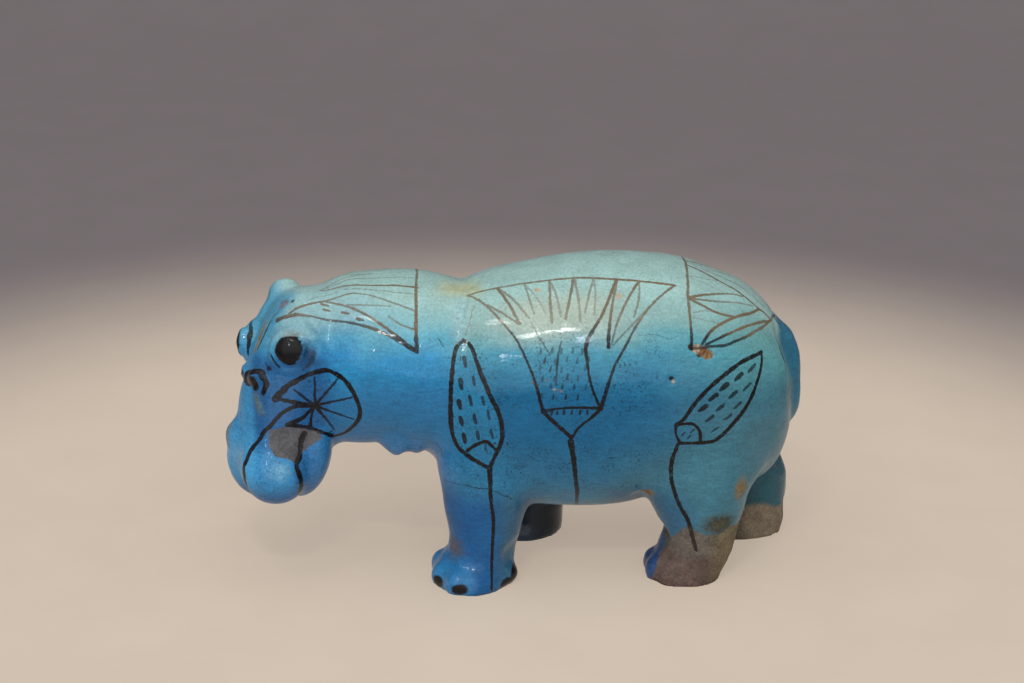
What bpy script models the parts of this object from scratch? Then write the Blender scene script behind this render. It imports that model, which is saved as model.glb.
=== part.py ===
"""A faience hippopotamus figurine that stands on four short legs with its head lowered.

The body is one moulded solid. Its large masses (torso, neck, head, legs) are lofts; they
are fused by a voxel remesh, softened, given their small forms (eyes, ears, nostrils, lips,
feet, toes, tail), fused again, thinned to a light mesh and cut flat under the feet. The
frame is +Z up; the animal faces -X and its left side faces -Y.
"""
import math

import bmesh
import bpy
from mathutils import Matrix, Vector

MM = 0.001  # every size below is in millimetres

# Driving dimensions
LENGTH = 200.0  # muzzle to tail; the whole figure is scaled to it
BODY_HALF_WIDTH = 37.5
HEAD_YAW = math.radians(24)  # the face turns towards the animal's left
HEAD_ROLL = math.radians(10)  # the muzzle swings to the left as well
HEAD_PIVOT = Vector((-60, 0, 74))
FOOT_HEIGHT = 12.0
TOES = 4
TOE_FAN = 63  # degrees either side of straight ahead
TOE_RADII = (4.6, 4.6, 5.2)
TOE_INSET = 3.4  # from the rim of the foot to the centre of a toe
TOE_LIFT = 2.5
GROUND_DEPTH = 40.0

RING_SIDES = 48
RINGS_PER_SPAN = 6
COARSE_VOXEL = 1.4  # grid of the first fusing, which joins the large masses
FINE_VOXEL = 1.0  # grid of the second, which adds the small forms
COARSE_SOFTENING = 20
FINE_SOFTENING = 5
TRIANGLES = 7600

# x, height of the centre, half height, half width
TORSO = [
    (-33.0, 60.0, 2.0, 2.0),
    (-31.0, 60.5, 14.0, 14.0),
    (-25.0, 61.5, 27.0, 26.0),
    (-16.0, 62.5, 36.0, 32.5),
    (-8.0, 62.8, 39.6, 34.5),
    (6.0, 63.0, 42.5, 36.5),
    (23.0, 64.5, 43.8, BODY_HALF_WIDTH),
    (40.0, 65.2, 43.6, BODY_HALF_WIDTH),
    (58.0, 66.2, 40.4, 37.0),
    (70.0, 64.2, 38.2, 35.5),
    (78.0, 63.3, 36.0, 33.0),
    (86.0, 61.3, 32.0, 28.5),
    (92.5, 60.3, 24.5, 22.5),
    (96.0, 59.5, 13.0, 13.0),
    (97.5, 59.5, 2.0, 2.0),
]
NECK = [
    (0.0, 64.0, 2.0, 2.0),
    (-3.0, 65.0, 16.0, 16.0),
    (-10.0, 67.5, 27.0, 29.5),
    (-18.0, 69.5, 29.0, 32.0),
    (-33.0, 71.3, 31.2, 31.0),
    (-47.0, 73.2, 29.0, 30.0),
    (-59.0, 71.4, 29.4, 27.0),
    (-69.0, 69.0, 25.0, 22.0),
    (-76.0, 67.0, 13.0, 12.0),
    (-77.0, 67.0, 2.0, 2.0),
]
# height above the head's pivot, front, back, half width
HEAD = [
    (24.0, 14.0, 8.0, 3.0),
    (22.0, 18.0, 0.0, 11.0),
    (17.0, 22.5, -8.0, 16.0),
    (9.0, 27.0, -9.0, 18.0),
    (1.0, 31.5, -9.0, 17.5),
    (-7.0, 34.5, -5.0, 16.5),
    (-15.0, 36.5, 1.0, 16.0),
    (-24.0, 38.0, 6.0, 16.0),
    (-33.0, 37.5, 9.0, 15.0),
    (-38.0, 35.0, 12.0, 12.0),
    (-41.5, 31.0, 16.0, 6.5),
    (-42.5, 27.0, 20.0, 2.0),
]
# place forward, to the left and up from the pivot; radii the same way; pitch and swing in degrees
HEAD_FORMS = [
    ("left_eye", (21.5, 13.2, 5.0), (7.8, 4.5, 7.5), 0, -28),
    ("right_eye", (23.7, -17.4, 4.2), (8.0, 4.6, 7.8), 0, 28),
    ("right_brow", (18.2, -14.5, 11.0), (6.0, 5.0, 8.0), 0, 28),
    ("left_nostril", (30.0, 5.5, -5.0), (5.0, 4.5, 4.5), 30, 0),
    ("right_nostril", (29.0, -5.5, -5.0), (5.0, 4.5, 4.5), 30, 0),
    ("left_lip", (28.5, 8.2, -34.5), (12.5, 10.8, 13.3), 0, 0),
    ("right_lip", (27.4, -8.5, -33.3), (12.6, 10.5, 15.2), 0, 0),
    ("muzzle", (27.5, 0.0, -31.0), (11.8, 16.5, 15.5), 0, 0),
    ("lip_knob", (37.6, -6.8, -24.8), (4.0, 4.8, 5.4), 0, 0),
    ("jaw", (15.6, 0.5, -30.8), (8.5, 17.0, 17.5), 13, 0),
    ("throat", (5.0, 0.0, -17.0), (11.0, 15.0, 17.0), 25, 0),
    ("right_ear", (13.0, -13.0, 19.0), (7.0, 4.5, 7.0), 0, 0),
    ("left_ear_stump", (12.0, 15.2, 10.5), (6.5, 4.6, 5.8), 0, 0),
]
# height, front, back, inner and outer distance from the middle plane
LEFT_FRONT_LEG = [
    (66.0, -12.0, -6.0, 18.0, 22.0),
    (60.0, -22.0, 6.0, 8.0, 30.0),
    (42.0, -26.0, 9.0, 5.0, 34.5),
    (30.0, -23.5, 6.0, 6.0, 35.5),
    (16.0, -21.5, 3.0, 6.5, 35.5),
    (8.0, -22.5, 1.0, 7.0, 36.0),
    (0.0, -23.0, 1.0, 7.0, 37.0),
    (-6.0, -21.0, -1.0, 10.0, 34.0),
]
RIGHT_FRONT_LEG = [
    (66.0, -6.0, 0.0, 18.0, 22.0),
    (60.0, -16.0, 12.0, 8.0, 30.0),
    (42.0, -15.0, 18.0, 5.0, 34.5),
    (30.0, -9.0, 20.5, 6.0, 35.5),
    (16.0, -3.5, 21.5, 6.5, 35.5),
    (8.0, -3.5, 20.0, 7.0, 36.0),
    (0.0, -4.0, 20.0, 7.0, 37.0),
    (-6.0, -2.0, 18.0, 10.0, 34.0),
]
LEFT_REAR_LEG = [
    (72.0, 62.0, 68.0, 14.0, 20.0),
    (60.0, 46.0, 86.0, 5.0, 33.0),
    (42.0, 43.0, 90.0, 4.0, 35.5),
    (30.0, 46.0, 82.0, 5.0, 35.5),
    (20.0, 50.5, 79.0, 6.0, 35.0),
    (10.0, 50.5, 77.0, 7.0, 34.0),
    (3.0, 49.0, 74.0, 7.5, 34.0),
    (-5.0, 50.0, 70.0, 10.0, 33.0),
]
RIGHT_REAR_LEG = [
    (72.0, 66.0, 72.0, 14.0, 20.0),
    (60.0, 54.0, 89.0, 5.0, 33.0),
    (42.0, 57.0, 95.5, 4.0, 35.5),
    (30.0, 64.0, 99.0, 5.0, 35.5),
    (20.0, 70.0, 100.7, 6.0, 35.0),
    (10.0, 71.5, 100.2, 7.0, 34.0),
    (3.0, 71.0, 97.5, 7.5, 34.0),
    (-5.0, 72.0, 93.5, 10.0, 33.0),
]
LEGS = [
    ("left_front_leg", -1, LEFT_FRONT_LEG),
    ("right_front_leg", 1, RIGHT_FRONT_LEG),
    ("left_rear_leg", -1, LEFT_REAR_LEG),
    ("right_rear_leg", 1, RIGHT_REAR_LEG),
]
# side (-1 left, 1 right), centre along the body, distance from the middle plane, half length and width
FEET = [
    (-1, -14.0, 23.0, 13.5, 17.5),
    (1, 5.0, 23.0, 13.5, 17.5),
    (-1, 59.5, 20.0, 13.0, 13.5),
    (1, 82.5, 20.0, 13.0, 13.5),
]
# x, height, half width, half depth
TAIL = [
    (88.0, 90.0, 2.0, 2.0),
    (91.2, 86.0, 4.5, 3.2),
    (95.2, 76.5, 5.0, 3.6),
    (96.8, 64.0, 5.0, 3.8),
    (97.0, 56.0, 4.8, 3.8),
    (95.8, 50.0, 4.0, 3.2),
    (94.5, 47.0, 1.5, 1.5),
]


def new_object(name, mesh, collection):
    """Link a mesh into the scene under a name."""
    obj = bpy.data.objects.new(name, mesh)
    collection.objects.link(obj)
    return obj


def mix(a, b, c, d, t):
    """Catmull-Rom value between b and c."""
    return 0.5 * (2 * b + (c - a) * t + (2 * a - 5 * b + 4 * c - d) * t * t
                  + (3 * b - a - 3 * c + d) * t ** 3)


def smooth_rows(rows, per_span=RINGS_PER_SPAN):
    """Rows of numbers on a smooth curve through the given rows."""
    ends = [rows[0], *rows, rows[-1]]
    result = []
    for i in range(len(rows) - 1):
        a, b, c, d = ends[i:i + 4]
        for step in range(per_span):
            result.append(tuple(mix(*values, step / per_span) for values in zip(a, b, c, d)))
    result.append(tuple(rows[-1]))
    return result


def loft(name, rings, collection, squareness=2.0):
    """A closed skin through rings, each a centre and two half axes."""
    bm = bmesh.new()
    loops = []
    for centre, half_a, half_b in rings:
        loop = []
        for side in range(RING_SIDES):
            angle = 2 * math.pi * side / RING_SIDES
            c, s = math.cos(angle), math.sin(angle)
            a = math.copysign(abs(c) ** (2 / squareness), c)
            b = math.copysign(abs(s) ** (2 / squareness), s)
            loop.append(bm.verts.new((centre + half_a * a + half_b * b) * MM))
        loops.append(loop)
    for lower, upper in zip(loops, loops[1:]):
        for i in range(RING_SIDES):
            j = (i + 1) % RING_SIDES
            bm.faces.new((lower[i], lower[j], upper[j], upper[i]))
    bm.faces.new(loops[0])
    bm.faces.new(loops[-1])
    bmesh.ops.recalc_face_normals(bm, faces=bm.faces)
    mesh = bpy.data.meshes.new(name)
    bm.to_mesh(mesh)
    bm.free()
    return new_object(name, mesh, collection)


def ellipsoid(name, centre, radii, collection, turn=None):
    """A ball scaled to three radii, turned and put at a centre."""
    bm = bmesh.new()
    bmesh.ops.create_uvsphere(bm, u_segments=32, v_segments=20, radius=1.0)
    matrix = Matrix.Translation(Vector(centre) * MM)
    if turn is not None:
        matrix = matrix @ turn.to_4x4()
    matrix = matrix @ Matrix.Diagonal((*[r * MM for r in radii], 1.0))
    bm.transform(matrix)
    mesh = bpy.data.meshes.new(name)
    bm.to_mesh(mesh)
    bm.free()
    return new_object(name, mesh, collection)


def along_body(rows):
    """Upright rings along the body, from rows of x, centre height and half sizes."""
    return [(Vector((x, 0, z)), Vector((0, width, 0)), Vector((0, 0, height)))
            for x, z, height, width in smooth_rows(rows)]


def leg_rings(rows, side):
    """Level rings down a leg on one side (-1 left, 1 right)."""
    return [(Vector(((front + back) / 2, side * (inner + outer) / 2, z)),
             Vector(((back - front) / 2, 0, 0)), Vector((0, (outer - inner) / 2, 0)))
            for z, front, back, inner, outer in smooth_rows(rows)]


HEAD_TURN = Matrix.Rotation(HEAD_YAW, 3, "Z") @ Matrix.Rotation(-HEAD_ROLL, 3, "X")


def on_head(forward, side, up):
    """A point of the turned head, from distances to its pivot (side +1 is the left)."""
    return HEAD_PIVOT + HEAD_TURN @ Vector((-forward, -side, up))


def head_rings(rows):
    """Rings of the head from crown to lips."""
    rings = []
    for up, front, back, half_width in smooth_rows(rows):
        centre = on_head((front + back) / 2, 0, up)
        rings.append((centre, HEAD_TURN @ Vector(((front - back) / 2, 0, 0)),
                      HEAD_TURN @ Vector((0, half_width, 0))))
    return rings


def head_ball(name, place, radii, pitch, swing, collection):
    """An ellipsoid on the head, pitched about its side axis and swung about its upright one."""
    turn = (Matrix.Rotation(math.radians(swing), 3, "Z")
            @ Matrix.Rotation(math.radians(pitch), 3, "Y"))
    return ellipsoid(name, on_head(*place), radii, collection, HEAD_TURN @ turn)


def add_modifier(obj, name, kind, **settings):
    """Add one modifier with its settings."""
    modifier = obj.modifiers.new(name, kind)
    for key, value in settings.items():
        setattr(modifier, key, value)
    return modifier


def baked(obj):
    """Replace an object's mesh by its evaluated mesh and drop the modifiers."""
    depsgraph = bpy.context.evaluated_depsgraph_get()
    mesh = bpy.data.meshes.new_from_object(obj.evaluated_get(depsgraph))
    obj.modifiers.clear()
    obj.data = mesh
    return obj


def fused(name, pieces, voxel, softening, collection):
    """One skin around overlapping pieces, softened by a number of smoothing steps."""
    bm = bmesh.new()
    for piece in pieces:
        bm.from_mesh(piece.data)
        bpy.data.objects.remove(piece)
    mesh = bpy.data.meshes.new(name)
    bm.to_mesh(mesh)
    bm.free()
    obj = new_object(name, mesh, collection)
    add_modifier(obj, "Fuse", "REMESH", mode="VOXEL", voxel_size=voxel * MM)
    add_modifier(obj, "Soften", "SMOOTH", factor=0.5, iterations=softening)
    return baked(obj)


def main_masses(shop):
    """Torso, neck, head and legs."""
    pieces = [
        loft("torso", along_body(TORSO), shop, squareness=2.2),
        loft("neck", along_body(NECK), shop),
        loft("head", head_rings(HEAD), shop, squareness=2.3),
    ]
    pieces.extend(loft(name, leg_rings(rows, side), shop) for name, side, rows in LEGS)
    return pieces


def foot_forms(centre, half_length, half_width, shop):
    """A domed foot with a fan of toes along its front."""
    radii = (half_length, half_width, FOOT_HEIGHT)
    pieces = [ellipsoid("foot", centre, radii, shop)]
    for toe in range(TOES):
        angle = math.radians(TOE_FAN * (2 * toe / (TOES - 1) - 1))
        place = Vector((-math.cos(angle) * (half_length - TOE_INSET),
                        math.sin(angle) * (half_width - TOE_INSET), TOE_LIFT))
        pieces.append(ellipsoid("toe", centre + place, TOE_RADII, shop))
    return pieces


def small_forms(shop):
    """Eyes, ears, nostrils, muzzle, jaw, feet and tail."""
    pieces = [head_ball(*form, shop) for form in HEAD_FORMS]
    for side, x, y, half_length, half_width in FEET:
        pieces.extend(foot_forms(Vector((x, side * y, 0.0)), half_length, half_width, shop))
    tail = [(Vector((x, 0, z)), Vector((0, width, 0)), Vector((depth, 0, 0)))
            for x, z, width, depth in smooth_rows(TAIL)]
    pieces.append(loft("tail", tail, shop))
    return pieces


def faience_material():
    """Blue-green glaze."""
    material = bpy.data.materials.new("faience_glaze")
    material.use_nodes = True
    shader = material.node_tree.nodes["Principled BSDF"]
    shader.inputs["Base Color"].default_value = (0.04, 0.28, 0.46, 1.0)
    shader.inputs["Roughness"].default_value = 0.28
    shader.inputs["Metallic"].default_value = 0.0
    return material


def thinned(obj, triangles):
    """Collapse the mesh to about a number of triangles, finer where it curves."""
    count = sum(len(face.vertices) - 2 for face in obj.data.polygons)
    add_modifier(obj, "Thin", "DECIMATE", ratio=triangles / count)
    return baked(obj)


def settled(obj):
    """Scale the figure to its length and centre it over the origin."""
    corners = [obj.matrix_world @ Vector(corner) for corner in obj.bound_box]
    low = [min(corner[axis] for corner in corners) for axis in range(3)]
    high = [max(corner[axis] for corner in corners) for axis in range(3)]
    shift = Vector((-(low[0] + high[0]) / 2, -(low[1] + high[1]) / 2, 0))
    scale = LENGTH * MM / (high[0] - low[0])
    obj.data.transform(Matrix.Scale(scale, 4) @ Matrix.Translation(shift))
    return obj


def ground_block(collection):
    """The block below z = 0 that cuts the soles flat."""
    bm = bmesh.new()
    bmesh.ops.create_cube(bm, size=1.0)
    size = Vector((1.5 * LENGTH, LENGTH, GROUND_DEPTH)) * MM
    bm.transform(Matrix.Translation((0, 0, -size.z / 2)) @ Matrix.Diagonal((*size, 1)))
    mesh = bpy.data.meshes.new("ground")
    bm.to_mesh(mesh)
    bm.free()
    ground = new_object("ground", mesh, collection)
    ground.hide_render = True
    ground.display_type = "WIRE"
    return ground


def main():
    for obj in list(bpy.data.objects):
        bpy.data.objects.remove(obj)
    figure = bpy.data.collections.new("faience_hippopotamus")
    cutters = bpy.data.collections.new("cutters")
    bpy.context.scene.collection.children.link(figure)
    bpy.context.scene.collection.children.link(cutters)

    masses = fused("masses", main_masses(figure), COARSE_VOXEL, COARSE_SOFTENING, figure)
    pieces = [masses, *small_forms(figure)]
    hippo = fused("hippopotamus", pieces, FINE_VOXEL, FINE_SOFTENING, figure)
    settled(thinned(hippo, TRIANGLES))
    add_modifier(hippo, "Soles", "BOOLEAN", object=ground_block(cutters),
                 operation="DIFFERENCE", solver="EXACT")
    hippo.data.materials.clear()
    hippo.data.materials.append(faience_material())
    hippo.data.shade_smooth()


main()
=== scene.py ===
"""A faience hippopotamus: smooth glazed skin over the CAD solid, with marsh plants in dark line.

Lengths in this file are millimetres until they go into a mesh. The animal faces -X, its left
side faces -Y and it stands on z = 0.
"""
import math

import bmesh
import bpy
import numpy as np
from mathutils import Matrix, Vector, noise
from mathutils.bvhtree import BVHTree
from mathutils.kdtree import KDTree


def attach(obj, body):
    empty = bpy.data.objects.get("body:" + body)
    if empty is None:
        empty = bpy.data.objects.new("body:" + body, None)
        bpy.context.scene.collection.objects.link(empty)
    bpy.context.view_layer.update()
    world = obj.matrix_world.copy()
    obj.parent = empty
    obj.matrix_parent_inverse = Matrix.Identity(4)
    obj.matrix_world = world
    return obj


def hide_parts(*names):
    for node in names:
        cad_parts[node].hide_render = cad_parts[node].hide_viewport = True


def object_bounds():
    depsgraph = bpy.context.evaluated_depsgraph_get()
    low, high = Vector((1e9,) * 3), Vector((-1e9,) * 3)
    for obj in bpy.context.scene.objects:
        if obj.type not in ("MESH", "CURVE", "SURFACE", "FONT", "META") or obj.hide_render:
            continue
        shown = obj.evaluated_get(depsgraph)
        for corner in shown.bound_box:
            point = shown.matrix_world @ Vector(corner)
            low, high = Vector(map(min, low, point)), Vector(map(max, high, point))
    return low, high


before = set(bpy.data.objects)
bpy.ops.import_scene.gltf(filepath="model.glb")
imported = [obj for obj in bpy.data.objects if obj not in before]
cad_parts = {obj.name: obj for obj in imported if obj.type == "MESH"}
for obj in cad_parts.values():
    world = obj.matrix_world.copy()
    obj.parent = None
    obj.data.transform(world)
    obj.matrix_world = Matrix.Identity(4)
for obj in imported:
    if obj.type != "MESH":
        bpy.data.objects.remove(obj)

MM = 0.001
LEFT, RIGHT = -1, 1
CELL = 0.91  # grid of the fine skin
SOLE_HEIGHT = 0.5  # what starts below this is a sole and stays flat
BOX_MARGIN = 0.02  # the skin stays this far inside the CAD box
cad_low, cad_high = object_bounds()

# The head's own frame: forward, to the left and up from a pivot in the neck
HEAD_PIVOT = np.array([-60.8, 0.0, 73.96])
HEAD_YAW = math.radians(24)
HEAD_ROLL = math.radians(10)
HEAD_TURN = np.array(Matrix.Rotation(HEAD_YAW, 3, "Z") @ Matrix.Rotation(-HEAD_ROLL, 3, "X"))
TORSO_AXIS = 63.0  # height of the torso's middle
NECK_AXIS = 71.0


# ---- small tools

def smooth(low, high, value):
    """0 below low, 1 above high, smooth between them (low may be the larger)."""
    t = np.clip((np.asarray(value, float) - low) / (high - low), 0.0, 1.0)
    return t * t * (3 - 2 * t)


def from_head(place):
    """A place given forward, left and up on the head, in the row frame."""
    return HEAD_PIVOT + HEAD_TURN @ (np.asarray(place, float) * (-1, -1, 1))


def to_head(points):
    """Row-frame points as forward, left and up on the head."""
    return (points - HEAD_PIVOT) @ HEAD_TURN * (-1, -1, 1)


def field(points, size, seed):
    """Smooth noise in -1..1 at points, with features of about a size (or a size per axis)."""
    shift = Vector((seed * 17.3, seed * 5.1, seed * 9.7))
    return np.array([noise.noise(Vector(p) + shift) for p in points / size])


def spline(points, step):
    """Catmull-Rom curve through points, with a sample about every step."""
    p = np.asarray(points, float)
    ends = np.vstack([2 * p[0] - p[1], p, 2 * p[-1] - p[-2]])
    out = []
    for a, b, c, d in zip(ends, ends[1:], ends[2:], ends[3:]):
        count = max(1, int(np.linalg.norm(c - b) / step))
        t = (np.arange(count) / count)[:, None]
        out.append(0.5 * (2 * b + (c - a) * t + (2 * a - 5 * b + 4 * c - d) * t ** 2
                          + (3 * b - a - 3 * c + d) * t ** 3))
    return np.vstack([*out, p[-1:]])


def segment_gap(points, a, b):
    """Distance of points to the straight line from a to b."""
    along = b - a
    t = np.clip((points - a) @ along / (along @ along), 0, 1)[:, None]
    return np.linalg.norm(points - a - t * along, axis=1)


def inside_gap(flat, corners):
    """Signed distance of flat points to a closed outline, below 0 inside it."""
    inside = np.zeros(len(flat), bool)
    far = np.full(len(flat), np.inf)
    for a, b in zip(corners, corners[1:] + corners[:1]):
        far = np.minimum(far, segment_gap(flat, np.array(a, float), np.array(b, float)))
        crosses = (a[1] > flat[:, 1]) != (b[1] > flat[:, 1])
        rise = b[1] - a[1] or 1e-9
        inside ^= crosses & (flat[:, 0] < a[0] + (flat[:, 1] - a[1]) * (b[0] - a[0]) / rise)
    return np.where(inside, -far, far)


def rgb(red, green, blue):
    """A linear colour from 0..255 display values."""
    v = np.array([red, green, blue]) / 255
    return np.where(v <= 0.04045, v / 12.92, ((v + 0.055) / 1.055) ** 2.4)


def blend(amount, a, b):
    """Colours a turning into b by an amount at each point."""
    return a + (b - a) * amount[:, None]


# ---- the skin

def linked(name, data):
    """A new object in the scene."""
    thing = bpy.data.objects.new(name, data)
    bpy.context.scene.collection.objects.link(thing)
    return thing


def fine_copy(node, name):
    """A fine even mesh of a CAD node, as a new object."""
    piece = linked(name, node.data.copy())
    grid = piece.modifiers.new("Grid", "REMESH")
    grid.mode = "VOXEL"
    grid.voxel_size = CELL * MM
    depsgraph = bpy.context.evaluated_depsgraph_get()
    mesh = bpy.data.meshes.new_from_object(piece.evaluated_get(depsgraph))
    piece.modifiers.clear()
    piece.data = mesh
    mesh.name = name
    return piece


def read(data, name, kind, width):
    """All of one property of a mesh's elements, as an array."""
    flat = np.empty(len(data) * width, kind)
    data.foreach_get(name, flat)
    return flat.reshape(-1, width)


def reshape(points):
    """Moves the skin's vertices to points, and returns its new normals."""
    skin.vertices.foreach_set("co", (points * MM).astype(np.float32).ravel())
    skin.update()
    return read(skin.vertex_normals, "vector", np.float32, 3).astype(float)


def neighbour_mean(values):
    """Mean of each vertex's neighbours."""
    total = np.empty_like(values)
    for axis in range(values.shape[1]):
        total[:, axis] = (
            np.bincount(edges[:, 0], values[edges[:, 1], axis], len(values))
            + np.bincount(edges[:, 1], values[edges[:, 0], axis], len(values)))
    return total / degree[:, None]


def relaxed(points, rounds, pull, push):
    """Taubin smoothing: takes facets off with little shrinking."""
    for _ in range(rounds):
        for factor in (pull, push):
            points = points + factor * (neighbour_mean(points) - points)
    return points


def grounded(points):
    """Puts the soles back on the ground and keeps the skin inside the CAD box."""
    points = points.copy()
    points[soles, 2] = 0.0
    low = np.array(cad_low) / MM + BOX_MARGIN
    high = np.array(cad_high) / MM - BOX_MARGIN
    low[2] = 0.0
    return np.clip(points, low, high)


def ball(centre, radii):
    """Rough signed distance of the skin to an ellipsoid, below 0 inside it."""
    return (np.linalg.norm((points - centre) / radii, axis=1) - 1) * np.min(radii)


def ridge(course, width, height):
    """Height of a soft ridge (or, if negative, a groove) along a course of places."""
    far = np.full(len(points), np.inf)
    for place in spline(course, 0.8):
        far = np.minimum(far, np.linalg.norm(points - place, axis=1))
    return height * np.exp(-(far / width) ** 2)


def head_ridge(course, width, height):
    return ridge([from_head(place) for place in course], width, height)


def push(place, radii, move):
    """Moves the skin round a place, most at its middle."""
    r = np.linalg.norm((points - place) / radii, axis=1)
    points[:] += np.maximum(0, 1 - r * r)[:, None] ** 2 * np.array(move, float)


hippo = fine_copy(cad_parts["hippopotamus"], "glazed_hippopotamus")
skin = hippo.data
edges = read(skin.edges, "vertices", np.int32, 2)
points = read(skin.vertices, "co", np.float32, 3).astype(float) / MM
degree = np.bincount(edges.ravel(), minlength=len(points)).astype(float)
soles = points[:, 2] < SOLE_HEIGHT
points = grounded(relaxed(points, rounds=22, pull=0.62, push=-0.64))
for polygon in skin.polygons:
    polygon.use_smooth = True

# the knob on the far lip, the far brow and the far ear sink softly into the head
blended = np.zeros(len(points))
for place, reach in (((37.5, -3.5, -25), 12), ((19.5, -16, 14), 6), ((23, -17, 8), 6)):
    away = np.linalg.norm(points - from_head(place), axis=1)
    blended = np.maximum(blended, smooth(reach, reach * 0.5, away))
for _ in range(40):
    points += 0.6 * blended[:, None] * (neighbour_mean(points) - points)

# worn and hand-modelled shapes
for place, radii, move in (
        ((84.5, -28, 43), (16, 22, 20), (-3.4, 0.8, 0)),  # near buttock
        ((98, 16, 36), (14, 14, 15), (-7.5, 0, -1)),  # far hind leg and its heel
        ((94, 13, 1), (12, 12, 13), (3.8, 0, 0)),
        ((49, -22, 16), (7, 13, 6.5), (3.6, 0, 0)),  # near hind ankle
        ((-27, -26, 24), (9, 14, 14), (-1.6, 0, 0)),  # near front leg, ankle and heel
        ((-1.4, -29, 12), (6, 9, 6), (-1.6, 0, 0)),
        ((-1.4, -29, 3), (6, 9, 5), (2.2, 0, 0)),
        ((-41, -18, 48.3), (7, 11, 7), (0, -0.5, -5.2)),  # folds of the throat
        ((-34, -17, 46), (5, 10, 6), (0, 0, -2.4)),
        ((-50, -15, 48.5), (12, 12, 8), (0, 0, -1.8)),
        ((27, 0, 26), (22, 42, 10), (0, 0, -1.4)),  # belly and crotch
        ((43.5, -20, 29), (6, 14, 6), (0.4, 0, 1.8)),
        ((91, -11.5, 74), (8, 7, 20), (-3, 0, 0)),  # hollows beside the tail
        ((91, 11.5, 74), (8, 7, 20), (-3, 0, 0)),
        ((91.5, 0, 88.5), (7, 9, 7.5), (-1.2, 0, -0.7)),  # root and middle of the tail
        ((93.5, 0, 85), (6, 9, 5), (-0.9, 0, 0)),
        ((98, 0, 72), (5, 7, 9), (0.5, 0, 0))):
    push(place, radii, move)
points = grounded(points)
normals = reshape(points)

x, y, z = points.T
forward, left, up = to_head(points).T
NEAR_EYE = from_head((23.3, 16.9, 5.7))
FAR_EYE = from_head((28.8, -18.3, 5.0))
EYE_RADIUS = 5.4

# ---- marks on the glaze
# Each mark is a closed patch: how far every point of the skin lies outside it, its colour,
# its roughness, how soft its edge is and how deep it is worn or broken into the glaze.

marks = []
BLACK = rgb(10, 8, 10)
PLASTER = rgb(92, 78, 73)
GREY_PLASTER = rgb(84, 84, 88)
ELSEWHERE = 30.0  # added to a gap where its mark can't lie
CREAM = rgb(186, 178, 150)


def mark(gap, colour, roughness=0.3, soft=0.35, depth=0.0):
    marks.append((gap, colour, roughness, soft, depth))


def spot(place, radii, colour, roughness=0.6, soft=0.35, depth=0.0):
    mark(ball(place, radii), colour, roughness, soft, depth)


def head_spot(place, radii, colour, **finish):
    spot(from_head(place), radii, colour, **finish)


def head_streak(start, end, radius, colour, roughness=0.6, soft=0.5, depth=0.0):
    """A long rounded mark between two places on the head."""
    gap = segment_gap(points, from_head(start), from_head(end)) - radius
    mark(gap, colour, roughness, soft, depth)


uneven = 0.7 * field(points, 3.4, 12) + 0.4 * field(points, 1.2, 13)
for centre, reach in ((NEAR_EYE, EYE_RADIUS), (FAR_EYE, EYE_RADIUS - 0.6)):
    mark(np.linalg.norm(points - centre, axis=1) - reach + uneven, BLACK, 0.4, 0.4)
head_spot((18, 18.2, 3.4), (2.6, 3, 4), rgb(16, 60, 98), roughness=0.3, soft=2.2)
# a painted highlight: a pale soft patch on top of the near lip
head_spot((30, 15, -34), (3.4, 4, 2.6), rgb(112, 164, 190), roughness=0.3, soft=2.4)
head_spot((22.4, 16.2, 11), (3.2, 2.2, 1.1), rgb(118, 132, 132), soft=0.9)
head_spot((22.8, 16.2, 10.3), (1.2, 1.2, 0.7), CREAM * 0.8, depth=0.15)

# old repairs in matt plaster: the cheek below the leaf and the two hind feet
on_cheek = np.where(left > 6, 0.0, ELSEWHERE)
cheek_repair = inside_gap(np.column_stack([forward, up]), [
    (31.4, -20.8), (26.7, -20.2), (21.6, -21.2), (14.6, -23.6), (14.3, -25.7), (17, -27),
    (20.4, -29), (22.6, -30.2), (24.4, -32.6), (32, -29), (33, -26)])
mark(cheek_repair + on_cheek, GREY_PLASTER, 0.6, 0.3, 0.18)
edge_noise = field(points, 7.0, 11) * 2.2
near_hind = np.where((x > 25) & (y < 0), 0.0, ELSEWHERE)
near_line = np.interp(x, [46, 47.7, 49.4, 52, 54.2, 57.5, 61.2, 68, 75, 80],
                      [-3, 1, 6, 13, 19, 22, 22.5, 21.5, 21, 23])
upper = smooth(9.5, 13, z + 0.8 * edge_noise)
rearward = smooth(64, 72, x)
plaster_colour = blend(rearward, blend(upper, PLASTER, rgb(94, 88, 82)), rgb(108, 98, 78))
mark(z - near_line + edge_noise + near_hind, plaster_colour, 0.75, 0.9, 0.22)
far_hind = np.where((x > 45) & (y > 0), 0.0, ELSEWHERE)
far_line = np.interp(x, [66, 76, 86, 96], [9, 12, 14, 12])
far_colour = blend(smooth(80, 86, x), rgb(84, 76, 66), rgb(116, 106, 92))
mark(z - far_line + edge_noise + far_hind, far_colour, 0.75, 1.2, 0.2)
spot((69.5, -33.5, 23.4), (6.5, 4, 3.8), rgb(68, 68, 58), soft=2)
spot((76.2, -31, 36), (2.2, 4, 3.8), rgb(120, 102, 74), soft=1.4)
spot((45, -27, 32.4), (2.2, 3.5, 1.5), rgb(122, 96, 66), soft=0.9)
spot((-22, -30, 13.2), (4, 5, 3), rgb(86, 86, 92), soft=2.4)

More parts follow.
